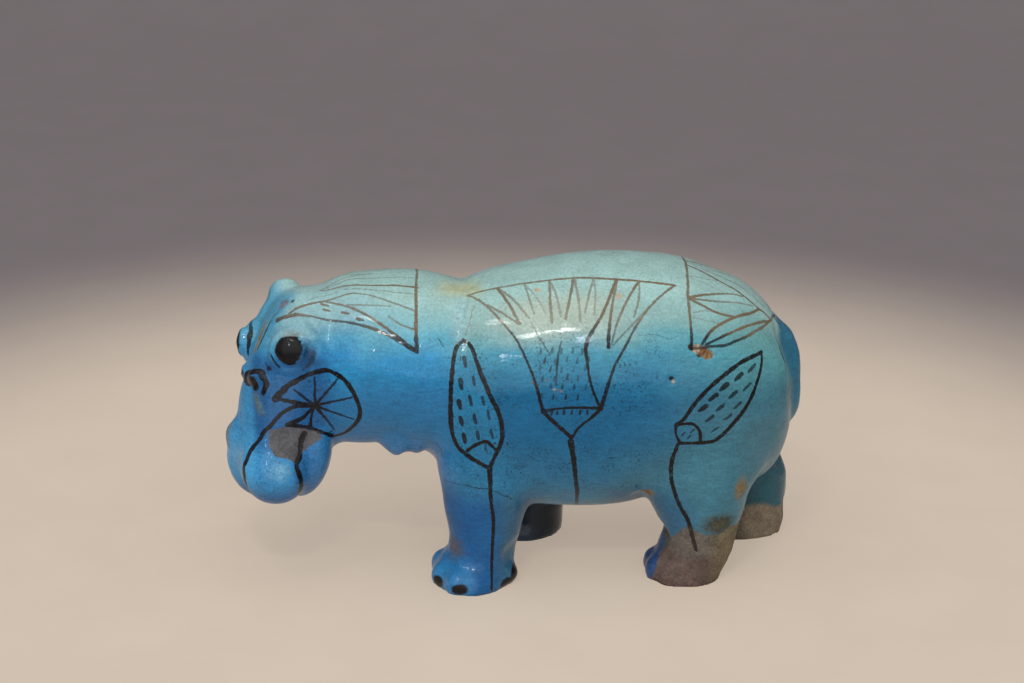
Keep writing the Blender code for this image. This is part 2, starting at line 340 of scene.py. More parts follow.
# breaks and pits
CHIPPED = rgb(164, 150, 130)
PASTE = rgb(122, 90, 64)
for place, radii, colour, depth in (
        ((57.6, -33, 87), (1.2, 2, 1.2), rgb(44, 38, 34), 0.4),
        ((59.6, -33, 86.4), (1.9, 2.4, 1.5), CHIPPED, 0.6),
        ((61.6, -33, 85.4), (2, 2.4, 1.6), PASTE, 0.8),
        ((63.2, -33, 84.3), (1.9, 2.4, 1.6), rgb(132, 104, 74), 0.7),
        ((60.4, -33, 84.4), (1.2, 2, 0.9), rgb(70, 60, 52), 0.5),
        ((4.8, -35, 75.4), (0.9, 2, 0.5), rgb(96, 102, 108), 0.2),
        ((6.4, -35, 74.3), (0.5, 2, 0.3), rgb(124, 122, 112), 0.2),
        ((9.7, -36, 76.2), (0.8, 2, 0.4), rgb(104, 116, 120), 0.2),
        ((12.4, -36, 73.3), (0.8, 2, 0.45), rgb(148, 144, 132), 0.2),
        ((14.4, -36, 72.8), (0.8, 2, 0.4), rgb(126, 112, 96), 0.2),
        ((50.9, -36, 77.2), (0.9, 1.5, 0.7), rgb(26, 26, 28), 0.9),
        ((51.6, -36, 76), (0.6, 1.5, 0.45), CHIPPED, 0.4),
        ((46.2, -36, 77.6), (0.5, 1.5, 0.4), rgb(30, 44, 60), 0.3),
        ((31.8, -36, 75.8), (0.7, 1.5, 0.3), rgb(80, 130, 150), 0)):
    spot(place, radii, colour, 0.85, 0.3, depth)
spot((-18.5, -7, 98.9), (6, 5, 1.3), rgb(180, 180, 134), 0.3, 1.8)
# a pale soft patch on the crease behind the neck
spot((-19.2, -19, 92.6), (1.8, 6, 4.6), rgb(142, 178, 184), 0.3, 2.2)
spot((6.7, -17.3, 101.8), (0.9, 1.2, 0.6), rgb(170, 150, 110), 0.5, 0.5)
spot((33.9, -22.7, 101.4), (1, 1.4, 0.6), rgb(166, 140, 112), 0.5, 0.6)
head_spot((33.3, 6.8, -4.4), (2, 1.5, 1.5), BLACK, roughness=0.35)
head_spot((9.3, 9.5, -34.5), (1, 1, 1), rgb(120, 110, 100))
head_spot((19.9, 4.3, 19.7), (2.2, 1.8, 2.6), rgb(108, 112, 128), soft=0.9)
head_spot((17.8, 7.4, 20.9), (0.9, 0.8, 0.9), BLACK)
head_streak((25.3, -1.6, 12.3), (29.6, -0.5, 4.6), 1.1, rgb(126, 112, 84), 0.4, 1)
head_streak((33.6, 7.6, -9.6), (33, 10.4, -14.8), 1.1, rgb(82, 104, 112), 0.4, 1.3)
head_spot((38.5, -7.6, -24.5), (2.6, 3, 4.4), rgb(104, 116, 124), roughness=0.5, soft=1.6)
head_spot((29.2, 10.4, -0.6), (1.2, 0.9, 0.8), rgb(30, 40, 70), soft=0.4)

# toenails, and a dark patch behind the heel
for place, radii in (((-27, -33.2, 1.8), (2.9, 3, 2.6)), ((-19, -40, 2.2), (2.9, 3, 2)),
                     ((0.4, -27.6, 3.4), (3.4, 4.4, 3.2)), ((-2.4, -32, 1.2), (3.2, 4, 2.2)),
                     ((-9, 30, 2.6), (3, 3, 2)), ((-5, 16, 2.4), (3, 3, 2)),
                     ((16, 20, 4), (3, 4, 2.6))):
    spot(place, radii, BLACK, 0.3, 0.4)

# ---- fine forms

lift = 0.16 * field(points, 22.0, 1) + 0.07 * field(points, 7.0, 2)
for gap, _, _, _, depth in marks:
    if depth:
        lift -= depth * smooth(0.5, -0.5, gap)

# eyes: a low disc inside a shallow ring
for centre in (NEAR_EYE, FAR_EYE):
    r = np.linalg.norm(points - centre, axis=1)
    lift += 0.22 * smooth(EYE_RADIUS + 0.3, EYE_RADIUS - 0.6, r)
    lift -= 0.45 * np.exp(-(r - EYE_RADIUS - 0.5) ** 2)
    lift += 0.30 * np.exp(-((r - EYE_RADIUS - 2.5) / 1.2) ** 2)
# nostrils: sunk inside their rims
for side in (1, -1):
    lift += head_ridge([(33, side * 5.2, -6.4), (32.5, side * 8, -5.6)], 1.4, -1)
    lift += head_ridge([(33.5, side * 1.4, -4), (33.6, side * 4.6, -2), (32, side * 8, -1.7),
                        (30.8, side * 10, -4), (31, side * 10.6, -7.4)], 1.1, 0.42)
# near ear: the rim that is left of it, with a soft cup inside
lift += head_ridge([(18.2, 12.5, 16.8), (15.8, 14.6, 16.2), (14.8, 17.7, 14.2), (13.5, 19.3, 12),
                    (12.4, 19.7, 9.2), (11.5, 21, 6.4)], 1.5, 0.75)
lift += head_ridge([(17.6, 16, 13.4), (15.6, 18.4, 10.8)], 1.6, -0.5)
# far ear: cupped towards the front
lift += head_ridge([(19.5, -13.5, 19.5), (19, -13, 23)], 2, -0.7)
# the near lip bulges most below the middle
lift += head_ridge([(35, 14, -37), (31, 17, -38), (27, 17, -38.5)], 3.6, 0.9)
# the mouth, drawn round from cheek to cheek below the lips
for side in (1, -1):
    lift += head_ridge([(20.5, side * 16, -24.2), (22.8, side * 16.4, -30.2),
                        (24.8, side * 17.6, -33.6), (23.4, side * 15.6, -38.7),
                        (22.8, side * 12, -43.6)], 1, -0.55)
# the crease behind the neck
lift += ridge([(-15.4, -13, 97.6), (-16.8, -19, 93.5), (-18.4, -22, 90.9), (-18.8, -25.6, 87)],
              1.1, 0.5)
lift += ridge([(-17.2, -13, 97.6), (-18.6, -19, 93.3), (-20, -22, 90.6)], 0.9, -0.5)
plaster = smooth(0.6, -0.6, np.minimum(z - near_line + near_hind, z - far_line + far_hind))
lift += plaster * 0.22 * field(points, 2.6, 5)
lift[soles] = 0.0
points = grounded(points + normals * lift[:, None])
reshape(points)

# ---- where a brush point falls

tree = BVHTree.FromPolygons([tuple(p) for p in points],
                            [tuple(f.vertices) for f in skin.polygons])
REACH = 90.0


def cast(start, aim):
    """Where a ray first meets the skin, or None."""
    hit = tree.ray_cast(Vector(start), Vector(aim))
    return None if hit[0] is None else np.array(hit[0])


def ring(axis_height, side):
    """Chart of distance along the body and angle above the level, round an axis."""
    def place(x, degrees):
        angle = math.radians(degrees)
        out = np.array([0.0, side * math.cos(angle), math.sin(angle)])
        return cast(np.array([x, 0.0, axis_height]) + REACH * out, -out)
    return place


def flank(side):
    """Chart of distance along the body and height, looked at from the side."""
    return lambda x, z: cast((x, side * REACH, z), (0, -side, 0))


def rear(side):
    """Chart of distance out from the middle and height, looked at from behind."""
    return lambda out, z: cast((REACH * 2, side * out, z), (-1, 0, 0))


def cheek(side):
    """Chart of forward and up on the head, looked at from its side."""
    aim = HEAD_TURN @ np.array([0.0, -side, 0.0])
    return lambda forward, up: cast(from_head((forward, -side * REACH, up)), aim)


def face(left, up):
    """Chart of left and up on the head, looked at from the front."""
    return cast(from_head((REACH, left, up)), HEAD_TURN @ np.array([1.0, 0.0, 0.0]))


# ---- brush lines

STEP = 0.35
lines = []  # (points on the skin, half widths, strengths)


def stroke(chart, places, half=0.42, strength=1.0, wobble=0.12):
    """One brush line through places of a chart; a list of widths or strengths runs along it."""
    seed = len(lines) + 1
    course = spline(places, STEP)

    def along(values):
        values = np.atleast_1d(values)
        return np.interp(np.linspace(0, 1, len(course)), np.linspace(0, 1, len(values)), values)

    run, widths, strengths = [], [], []
    for (a, b), width, dark in zip(course, along(half), along(strength)):
        drift = wobble * noise.noise(Vector((a * 0.35, b * 0.35, seed * 3.7)))
        hit = chart(a + drift, b + drift)
        if hit is None:
            continue
        run.append(hit)
        widths.append((1 + 0.3 * noise.noise(Vector(hit * 0.55))) * width)
        strengths.append(dark)
    if len(run) > 1:
        lines.append((np.array(run), np.array(widths), np.array(strengths)))


def strokes(chart, rows):
    """Several brush lines on one chart, each a course, half width and strength."""
    for row in rows:
        stroke(chart, *row)


def dash(chart, middle, along, length, half, strength=0.9):
    """A short dab of the brush."""
    reach = np.array(along, float) / np.linalg.norm(along) * length / 2
    middle = np.array(middle, float)
    stroke(chart, [middle - reach, middle + reach], [half, half, half * 0.7], strength)


def leaf(chart, bold):
    """A round floating leaf seen from above, notched at the front, on its stem."""
    middle = (16, -14.3)
    rim = [(28.5, -10.5), (25, -7), (21, -4.8), (17, -3), (13, -1.8), (10.5, -3), (8, -5.5),
           (5.5, -10.5), (3.2, -18), (4.8, -24), (8, -26.4), (13, -24.3), (17.5, -22),
           (21.5, -20.6), (26, -19.6)]
    strokes(chart, (
        (rim, [bold * 1.6, bold * 1.2, bold * 1.05, bold, bold * 0.95, bold * 0.85, bold * 0.9]),
        ([rim[0], middle], [bold * 0.8, bold]),
        ([rim[-1], (20, -17.6), middle], [bold, bold * 0.9]),
        ([middle, (17.3, -18), (18, -21.4)], [bold * 0.45, bold * 0.6, bold * 0.95])))
    for end in ((22.5, -8), (16, -4.2), (10, -4.6), (5.8, -11.2), (4.8, -19.6), (9.3, -23.6)):
        stroke(chart, [middle, end], [bold * 0.85, bold * 0.6, bold * 0.5], [1, 0.85])
    stroke(chart, [middle, (22, -13.6), (27, -15.4), (30.5, -18.9), (33.8, -22.2)], bold)


def bud(chart, left_edge, right_edge, rows, spacing, bold, dab):
    """A closed lotus bud: two edges from tip to base, filled with short dashes."""
    strokes(chart, (
        (left_edge, [bold * 0.9, bold, bold, bold * 0.9]),
        (right_edge, [bold * 0.7, bold, bold, bold * 0.8])))
    left_side, right_side = spline(left_edge, 0.5), spline(right_edge, 0.5)
    axis = np.array(left_edge[-1], float) - left_edge[0]
    for row in range(rows):
        t = 0.17 + 0.54 * row / (rows - 1)
        a = left_side[int(t * (len(left_side) - 1))]
        b = right_side[int(t * (len(right_side) - 1))]
        columns = max(1, round(np.linalg.norm(b - a) / spacing - 0.4))
        for column in range(columns):
            share = (column + 0.75) / (columns + 0.5)
            shake = 1.1 * noise.noise(Vector((row * 3.1, column * 2.7, spacing)))
            weight = dab * (1.4 - 0.75 * share)
            dash(chart, a + (b - a) * share + axis / np.linalg.norm(axis) * shake, axis, 2.8,
                 weight, 1 - 0.3 * share)


def flank_lotus(chart, side_chart):
    """An open lotus seen from the side, wide end up, with its cup and stem below."""
    rim = [(-16.4, 73), (-6.5, 72), (3.5, 72), (19, 71), (31.5, 69), (41, 68), (53, 67)]
    strokes(chart, (
        (rim, [0.5, 0.42, 0.46, 0.46, 0.5, 0.5, 0.56], [0.85, 0.75, 0.85, 0.9, 0.95, 0.95]),
        ([rim[0], (-10, 60.5), (-5, 50), (-0.5, 41), (2.4, 32), (5, 23), (7.3, 11), (8.5, 4)],
         [0.42, 0.42, 0.38, 0.4, 0.46, 0.7], [0.75, 0.75, 0.85, 0.95, 1, 1]),
        ([rim[-1], (46, 57.5), (40, 47), (35.5, 36), (32, 27), (29.5, 16), (27.7, 6)],
         [0.46, 0.4, 0.42, 0.46, 0.55, 0.75], [0.9, 0.85, 0.95, 1]),
        ([(8.5, 4), (13, 5.6), (18.5, 6.4), (23, 6.4), (27.7, 6)], [0.75, 0.4, 0.4, 0.42, 0.8]),
        ([(8.5, 4), (12, -1.5), (18, -10)], [0.75, 0.66, 0.72]),
        ([(27.7, 6), (24.5, 1), (20.5, -4.5), (18.4, -10)], [0.75, 0.5, 0.42, 0.6])))
    stroke(side_chart, [(18, 55), (18.4, 52), (19.2, 47), (20.3, 38.5), (21.2, 31.5)],
           [1.05, 0.84, 0.7, 0.66])
    stroke(chart, [(20.9, -44), (21.2, -57), (21.8, -66), (22.5, -80)], 0.62, [1, 1, 0.5, 0])
    # petals: a point on the rim and two legs spreading down
    petals = (((-6.5, 72), (-1.4, 55.5), (0.7, 48.5), (3.8, 51), 0.5, 0.9),
              ((2.5, 71.7), (5.2, 55), (5.6, 53), (9.2, 53), 0.36, 0.6),
              ((11, 71.5), (11, 58), (11.4, 48), (14.4, 51), 0.46, 0.75),
              ((19, 71), (17.6, 60), (16, 49.5), (20.8, 48), 0.48, 0.85),
              ((25.8, 70), (24, 61), (22.4, 52), (25.4, 50.5), 0.4, 0.65))
    for tip, bend, first, second, half, strength in petals:
        stroke(chart, [tip, bend, first], half, [strength, strength, strength * 0.7])
        bow = (0.5 * (tip[0] + second[0]) + 0.4, 0.5 * (tip[1] + second[1]))
        stroke(chart, [tip, bow, second], half * 0.85, [strength * 0.85, strength * 0.5])
    strokes(chart, (
        ([(19, 71), (19.3, 67.5)], 0.85, 0.65),
        ([(33.5, 68.8), (28.7, 52.5), (25.3, 44.5), (23, 39), (22.4, 35)], [0.56, 0.5, 0.5, 0.85],
         [0.95, 0.9, 0.95, 1]),
        ([(22.4, 35), (23.4, 24), (25, 15), (27.3, 7)], [0.7, 0.42, 0.45, 0.55]),
        ([(33.5, 68.8), (31.8, 57), (30.2, 43.5), (30, 35.8)], [0.48, 0.44, 0.46, 0.72],
         [0.8, 0.75, 0.9, 1]),
        ([(41, 68.2), (36, 56), (32.8, 46), (31, 37)], [0.5, 0.42, 0.32], [0.95, 0.8, 0.6]),
        ([(41, 68.2), (40.4, 58), (38.6, 49.4)], 0.34, 0.65),
        ([(45.4, 56.5), (40.5, 49.5), (35.5, 42.5), (31.4, 36.6)], 0.34, [0.7, 0.5]),
        ([(-10, 61.5), (-4.5, 54.5), (0.6, 48.4)], 0.38, [0.7, 0.7]),
        ([(4.5, 49), (7.2, 41), (10.8, 32.5)], 0.24, [0.35, 0.55]),
        ([(14.4, 39), (13.4, 33), (12.9, 26), (12.7, 18)], [0.3, 0.42, 0.3], [0.6, 0.9, 0.6])))
    # rows of small dabs across the middle, and one row under the base
    for row, degrees in enumerate((34.5, 30, 26, 21.5, 17, 12.5)):
        for column in range(5):
            at = 7.6 + 3.5 * column + (1.5 if row % 2 else 0) - 0.12 * row * (2 - column)
            faint = 0.45 + 0.4 * noise.noise(Vector((row * 1.7, column * 2.3, 4.1)))
            shake = 1.2 * noise.noise(Vector((row * 2.9, column * 1.3, 8.7)))
            dash(chart, (at + 0.4 * shake, degrees + shake), (0.1, 1), 2.3, 0.42,
                 max(0.3, faint + 0.1))
    for at in (11.4, 13.2, 15.4, 18, 20.8, 23.2):
        dash(chart, (at, 3.6 + 0.05 * (at - 11)), (0.05, 1), 2, 0.44, 0.85)


def neck_lotus(chart, own):
    """Half of an open lotus laid over the neck, its wide end towards the back."""
    stroke(chart, [(-33.5, 92), (-33.8, 68), (-33.7, 51), (-33.7, 38), (-33.4, 24)],
           [0.46, 0.46, 0.5, 0.55, 0.66], [0.85, 0.9, 0.95, 1])
    corner = (-33.4, 24)
    strokes(chart, (
        ([(-80, 56), (-75.4, 54), (-68, 50), (-59, 46), (-45.7, 37), corner],
         [0.8, 0.5, 0.42, 0.5, 0.58, 0.7], [0.95, 0.75, 0.85, 0.95, 1]),
        ([(-77, 55), (-75, 58), (-69.4, 61), (-63.4, 64)], [0.56, 0.46, 0.44], 0.85),
        ([(-64.5, 63.6), (-58.5, 58), (-50, 48), corner], [0.38, 0.46, 0.5, 0.6],
         [0.75, 0.85, 0.95, 1]),
        ([(-66.3, 76.5), (-58, 75.5), (-49, 73.4), (-33, 70.5)], [0.36, 0.42, 0.46, 0.42],
         [0.7, 0.85, 0.9]),
        ([(-66.5, 77), (-62, 84), (-56, 88), (-49, 91)], 0.34, [0.65, 0.5]),
        ([(-64, 79), (-56, 83), (-47, 82), (-34, 81.5)], 0.3, [0.5, 0.5, 0.4]),
        ([(-63.5, 64.2), (-59, 66.2), (-55, 67)], 0.38, 0.8),
        ([(-55, 67), (-49, 63.5), (-42.5, 57.5), (-34.3, 50.8)], 0.34, [0.7, 0.65, 0.7]),
        ([(-58, 72), (-49, 69), (-40, 65), (-35, 64)], 0.3, 0.45),
        ([(-57.5, 57.5), (-48, 55.2), (-42, 54)], 0.32, [0.65, 0.45]),
        ([(-43, 47), (-39, 41.4), (-33.8, 38)], 0.36, [0.45, 0.85])))
    if own:
        stroke(chart, [(-71, 63), (-66, 68), (-60, 71)], 0.24, [0.3, 0.45])
    for middle in ((-64.4, 60.2), (-63.6, 56), (-57.4, 51.6), (-52.2, 45.6)):
        dash(chart, middle, (1, -0.75), 2.8, 0.5, 0.85)
    stroke(chart, [(-80.5, 56), (-79.2, 55.6)], 0.95, 0.9)


def rump_lotus(chart):
    """Half of an open lotus laid over the rump, its base at the root of the tail."""
    root = (86.8, 67)
    strokes(chart, (
        ([(58.2, 91), (57.6, 70), (57.1, 60), (57.5, 47), (57.8, 36)], [0.5, 0.44, 0.5, 0.44, 0.5],
         [0.9, 0.85, 0.9, 0.9]),
        ([(57.8, 35.8), (63.2, 36.9), (69.1, 38.3), (72.6, 41), (76.2, 44.2), (80, 49.6),
          (83.4, 56), root], [0.5, 0.48, 0.5, 0.5, 0.44], [0.85, 0.9, 0.95]),
        ([root, (88, 76), (89, 85)], [0.5, 0.6, 0.5], 0.85),
        ([(62.5, 37.6), (72.7, 46.6), (80, 54.6), (85.5, 63)], 0.48, [0.9, 0.95, 0.9]),
        ([(61, 37.5), (65, 45.5), (73, 54.5), (79, 61), (82.6, 68.6), (85.4, 68.5), root],
         [0.5, 0.5, 0.54, 0.5], 0.95),
        ([(57.3, 60.6), (64.2, 65), (71, 69.5), (76.8, 72)], [0.6, 0.46, 0.4], [0.95, 0.85, 0.75]),
        ([(57.3, 60), (62, 57.5), (66.7, 55), (73, 54.5)], [0.6, 0.5, 0.46], [0.95, 0.9]),
        ([(57.3, 60.3), (66, 61.5), (76, 65.5), (80.4, 68)], [0.52, 0.38, 0.3], [0.9, 0.65, 0.55]),
        ([(58.4, 87), (67.4, 81), (74.6, 75.5), (79.5, 71), (82.5, 69)], [0.56, 0.48, 0.48], 0.95),
        ([(60.5, 88.6), (68, 87), (76, 83), (84.5, 76)], 0.34, [0.5, 0.65, 0.55]),
        ([(57.8, 75.6), (64, 77), (68.5, 79.5)], 0.24, 0.4),
        ([(58.5, 74.6), (65, 72), (70, 70.4)], 0.24, 0.35),
        ([(58.2, 52.6), (62.5, 54.6), (67, 55)], 0.24, 0.4),
        ([(58.2, 50.6), (63, 49.6), (68, 49)], 0.24, 0.35)))


leaf(cheek(LEFT), 0.74)
leaf(cheek(RIGHT), 0.68)
# the line of the mouth, in front and on the cheeks, the rims of the nostrils and the lids
stroke(face, [(11.7, -22), (11.5, -25.4), (11, -28.7), (10.8, -30.6), (9.7, -32.8), (9.4, -36.7),
              (7.8, -41.2), (7.2, -43.6)], [0.95, 0.95, 1, 0.95, 0.8])
for side in (1, -1):
    chart = cheek(-side)
    stroke(chart, [(20.2, -23.6), (21.4, -25.6), (22.8, -30.2), (24.8, -33.6), (23.4, -38.7),
                   (22.8, -43.8)], [1.25, 1.15, 1.1, 1.15, 1.15, 1])
    out = 0 if side == 1 else 4.4
    rim = [(side * (a + out), b) for a, b in (
        (-0.6, -3.8), (4.4, -1.9), (8.2, -1.3), (10.2, -3.4), (10.9, -6.2), (10.2, -8.6))]
    stroke(face, rim, [1.7, 1.3, 1.2, 1.2, 0.9] if side == 1 else 0.7)
    sill = [(side * (a + out), b) for a, b in (
        (-0.8, -4.6), (3.4, -4.8), (6.4, -5), (7.4, -6.7))]
    stroke(face, sill, [1.8, 2.1, 1.9, 1.3] if side == 1 else 0.9)
    strokes(chart, (
        ([(28.4, 4.2), (27.6, 1.8), (26.3, 0)], 0.42, 0.85),
        ([(19.4, -1.4), (17.5, 0), (16, 2.4), (15.6, 4.4)], [0.3, 0.6, 0.75], 0.55)))
# the arc of the far eye, the line down the brow and a dab by the nostril
strokes(face, (
    ([(-16.4, 12.4), (-13.8, 9.9), (-12.7, 7.7), (-11.9, 4.4), (-11.6, 1.5)],
     [0.35, 0.7, 0.95, 1, 0.6], [0.7, 0.95, 1]),
    ([(4.2, 17.5), (2.5, 14.9), (1.8, 11.7), (1.4, 8.1), (1.1, 5)], [0.3, 0.46, 0.5, 0.4],
     [0.5, 0.9, 0.8]),
    ([(8.2, 1.6), (9.6, 0.2), (10.6, -0.8)], [0.3, 0.6], [0.4, 0.8])))

for side in (LEFT, RIGHT):
    SIDE = flank(side)
    BARREL = ring(TORSO_AXIS, side)
    bud(SIDE,
        [(-18, 87), (-20.7, 83.6), (-22, 73), (-22, 58.5), (-20.3, 51.5), (-15.5, 47.5),
         (-9, 44.3)],
        [(-18, 87), (-15.4, 85.2), (-12, 77), (-8.8, 69.7), (-6.3, 64.7), (-5.1, 59), (-5.3, 53.5),
         (-9, 44.3)], 5, 4.3, 0.78, 0.68)
    strokes(SIDE, (
        ([(-16.6, 49.6), (-13.9, 52), (-10.3, 53.8), (-8.4, 52.2), (-6.4, 50.2)],
         [0.55, 0.6, 0.6, 0.4]),
        ([(-10.3, 53.6), (-10.6, 50.6)], 0.35, 0.6),
        ([(-9, 44.3), (-8.5, 33), (-7.6, 25.4), (-8, 12), (-8, 1)],
         [0.85, 0.66, 0.6, 0.55, 0.42])))
    bud(SIDE,
        [(82, 82.5), (75, 81), (68.5, 77.3), (63, 73), (58.7, 68), (55.5, 63), (53, 61)],
        [(82, 82.5), (82, 79), (80, 72.7), (77, 66.4), (73, 61.2), (67.7, 55.6), (64, 54),
         (54.6, 54)], 5, 4.2, 0.72, 0.64)
    strokes(SIDE, (
        ([(53, 61), (58.3, 61.2), (61, 58.4), (61.4, 54.4)], [0.62, 0.5, 0.55]),
        ([(53, 61), (53, 57.5), (54.6, 54)], [0.62, 0.42, 0.6])))
    for middle in ((55.6, 57.6), (57.6, 56.4), (58.6, 58.6)):
        dash(SIDE, middle, (0.8, 1), 1.7, 0.32, 0.85)
    stroke(SIDE, [(54, 53.6), (52.3, 47), (52.6, 39), (55.2, 31), (58.4, 25.4), (60.4, 18.5),
                  (61.7, 14)], [0.6, 0.74, 0.7, 0.7, 0.74, 0.6])
    flank_lotus(BARREL, SIDE)
    neck_lotus(ring(NECK_AXIS, side), side == LEFT)
    rump_lotus(BARREL)
    # a dark line drawn as ink down each side of the tail: painted shade in the crease between tail
    # and buttock
    stroke(rear(side), [(16.2, 84), (17.3, 80), (17.2, 75), (16.3, 70), (14.6, 65), (11.4, 60.5),
                        (7.6, 57)],
           [0.4, 0.9, 1, 0.9, 0.8, 0.6, 0.4], [0.5, 0.85, 0.85, 0.8, 0.7, 0.6, 0.3])

# hairline cracks
SIDE, BARREL = flank(LEFT), ring(TORSO_AXIS, LEFT)
stroke(SIDE, [(-24.5, 37.3), (-16, 37.7), (-8.5, 36.7), (-1.3, 32.6)], 0.16, 0.75, 0.5)
stroke(SIDE, [(-27, 50), (-25.2, 47.5), (-24.8, 45)], 0.2, 0.6, 0.5)
stroke(BARREL, [(-14.3, 63.4), (-15.7, 54.3), (-17.1, 45.7)], 0.16, 0.6, 0.9)
stroke(BARREL, [(36.5, 49), (40, 41.5), (45, 42), (50, 39.5), (53, 41)], 0.13, 0.45, 0.8)
stroke(ring(NECK_AXIS, LEFT), [(-26.5, 33), (-24.6, 27.5)], 0.2, 0.6, 0.5)

# ---- ink kept on the skin

LAYERS = 6
INK_REACH = 3.2  # how far from a line a vertex still keeps its nearest place on it
TEAR = 1.7  # a longer jump of the nearest place between neighbours is a change of line
NO_INK = (9.0, 0.0, 0.0)  # distance, half width and strength away from every line


def crowding(line, layer):
    """How many samples of a line come close to the lines of a layer."""
    near = 0
    run = line[0]
    for other, _, _ in layer:
        apart = np.abs(other.mean(0) - run.mean(0)) - (np.ptp(other, 0) + np.ptp(run, 0)) / 2
        if (apart <= 8).all():
            gaps = np.linalg.norm(other[::2, None] - run[None, ::2], axis=2)
            near += int((gaps.min(0) < INK_REACH).sum())
    return near


# lines that come close together go on different layers, so that each keeps its own edges
layers = [[] for _ in range(LAYERS)]
for line in sorted(lines, key=lambda line: -len(line[0])):
    crowds = [crowding(line, layer) for layer in layers]
    layers[int(np.argmin(crowds))].append(line)


def lay_ink(points, layer):
    """For each vertex: nearest point on a brush line, and its distance, half width, strength."""
    kd = KDTree(sum(len(run) for run, _, _ in layer))
    owner = []
    for run, widths, strengths in layer:
        for i, p in enumerate(run):
            kd.insert(p, len(owner))
            owner.append((run, widths, strengths, i))
    kd.balance()
    nearest = points + 100.0
    about = np.tile(NO_INK, (len(points), 1))
    for v, p in enumerate(points):
        _, i, distance = kd.find(p)
        if distance > INK_REACH:
            continue
        run, widths, strengths, at = owner[i]
        best = run[at]
        for other in (at - 1, at + 1):
            if 0 <= other < len(run):
                along = run[other] - run[at]
                size = float(along @ along)
                if size > 0:
                    t = min(1.0, max(0.0, float((p - run[at]) @ along) / size))
                    place = run[at] + t * along
                    if np.sum((p - place) ** 2) < np.sum((p - best) ** 2):
                        best = place
        nearest[v] = best
        about[v] = np.linalg.norm(p - best), widths[at], strengths[at]
    # between two lines of a layer the nearest place jumps, so no ink is laid there
    a, b = edges.T
    jumps = np.linalg.norm(nearest[a] - nearest[b], axis=1) > TEAR
    torn = np.zeros(len(points), bool)
    torn[a[jumps]] = torn[b[jumps]] = True
    about[torn & (about[:, 0] > about[:, 1] + 0.35), 2] = 0.0
    return nearest, about


def store(name, values):
    """A named value, place or colour for every vertex, for the material."""
    kind = "FLOAT_VECTOR" if values.ndim == 2 else "FLOAT"
    attribute = skin.attributes.new(name, kind, "POINT")
    attribute.data.foreach_set("vector" if values.ndim == 2 else "value",
                               values.astype(np.float32).ravel())


for number, layer in enumerate(layers):
    nearest, about = lay_ink(points, layer)
    store(f"ink_spot_{number}", nearest * MM)
    store(f"ink_about_{number}", about)

# every vertex keeps the mark that reaches it best
gaps, colours, roughness, softness, _ = zip(*marks)
owner = np.argmin(np.array(gaps) - np.array(softness)[:, None], axis=0), np.arange(len(points))
store("mark_gap", np.array(gaps)[owner])
store("mark_colour", np.array([np.broadcast_to(c, points.shape) for c in colours])[owner])
store("mark_rough", np.array(roughness)[owner[0]])
store("mark_soft", np.array(softness)[owner[0]])

# ---- colour of the glaze
# The glaze ran thin on the back, where it is pale, and gathered deep blue on the sides.

CREST = rgb(149, 185, 182)
PALE = rgb(127, 165, 165)
PAINTED_SHEEN = rgb(178, 184, 166)
TEAL = rgb(88, 150, 162)
SKY = rgb(60, 136, 162)
MID = rgb(38, 113, 148)
DEEP = rgb(14, 91, 133)
BELLY = rgb(46, 112, 146)
BUD_TEAL = rgb(42, 124, 164)
NECK_PALE = rgb(108, 166, 180)
NECK_SKY = rgb(78, 152, 176)
NECK_BLUE = rgb(36, 131, 180)
NECK_DEEP = rgb(34, 109, 158)
NECK_UNDER = rgb(68, 112, 158)
RUMP_PALE = rgb(98, 150, 152)
RUMP_SKY = rgb(78, 142, 152)
RUMP_BLUE = rgb(58, 110, 128)
TAIL = rgb(38, 104, 132)
LEG_BLUE = rgb(18, 80, 132)
LEG_SHADE = rgb(44, 90, 120)
FOOT_BLUE = rgb(42, 110, 160)
TOE_BLUE = rgb(40, 66, 108)
FAR_LEG_PAINTED_SHADE = rgb(22, 32, 42)
FAR_HIND_PAINTED_SHADE = rgb(20, 48, 58)
FAR_HIND_PAINTED_HALF_SHADE = rgb(34, 82, 96)
HEAD_PALE = rgb(128, 168, 178)
BROW = rgb(72, 144, 176)
TEMPLE = rgb(42, 130, 184)
CHEEK_BLUE = rgb(30, 108, 162)
CHEEK_PAINTED_SHADE = rgb(28, 78, 128)
JAW_BLUE = rgb(36, 94, 146)
MUZZLE_BLUE = rgb(56, 136, 186)
LIP_BLUE = rgb(52, 128, 180)
LIP_PAINTED_HIGHLIGHT = rgb(70, 152, 202)


def gradient(value, *stops):
    """Colours that follow a value through stops of (value, colour)."""
    at, colours = zip(*stops)
    return np.column_stack([np.interp(value, at, channel) for channel in np.array(colours).T])


x, y, z = points.T
forward, left, up = to_head(points).T
angle = np.degrees(np.arctan2(z - TORSO_AXIS, np.abs(y)))
streak = field(points, np.array([16.0, 5.0, 4.0]), 21) * 2.5 + field(points, 11.0, 22) * 2.5
cloud = field(points, 15.0, 24)
at = angle + streak
barrel = gradient(at, (-52, BELLY), (-10, DEEP), (10, DEEP), (23, MID), (33, SKY), (40, TEAL),
                  (48, PALE), (66, CREST))
# painted sheen: the upper flank turns cream-pale where the lamps' soft reflection spreads round
# the highlight
painted_sheen = smooth(17, 5, np.abs(angle + 0.6 * streak - 50)) * smooth(30, 8, np.abs(x - 14))
barrel = blend(0.55 * painted_sheen, barrel, PAINTED_SHEEN)
neck = gradient(at, (-50, NECK_UNDER), (-20, NECK_DEEP), (10, NECK_DEEP), (31, NECK_BLUE),
                (42, NECK_SKY), (48, NECK_PALE), (66, CREST))
rump = gradient(at, (8, RUMP_BLUE), (33, RUMP_SKY), (50, RUMP_PALE), (72, CREST))
base = blend(smooth(-14, -28, x + 4 * cloud), barrel, neck)
base = blend(smooth(34, 76, x + 8 * cloud - 0.5 * (z - 66)), base, rump)

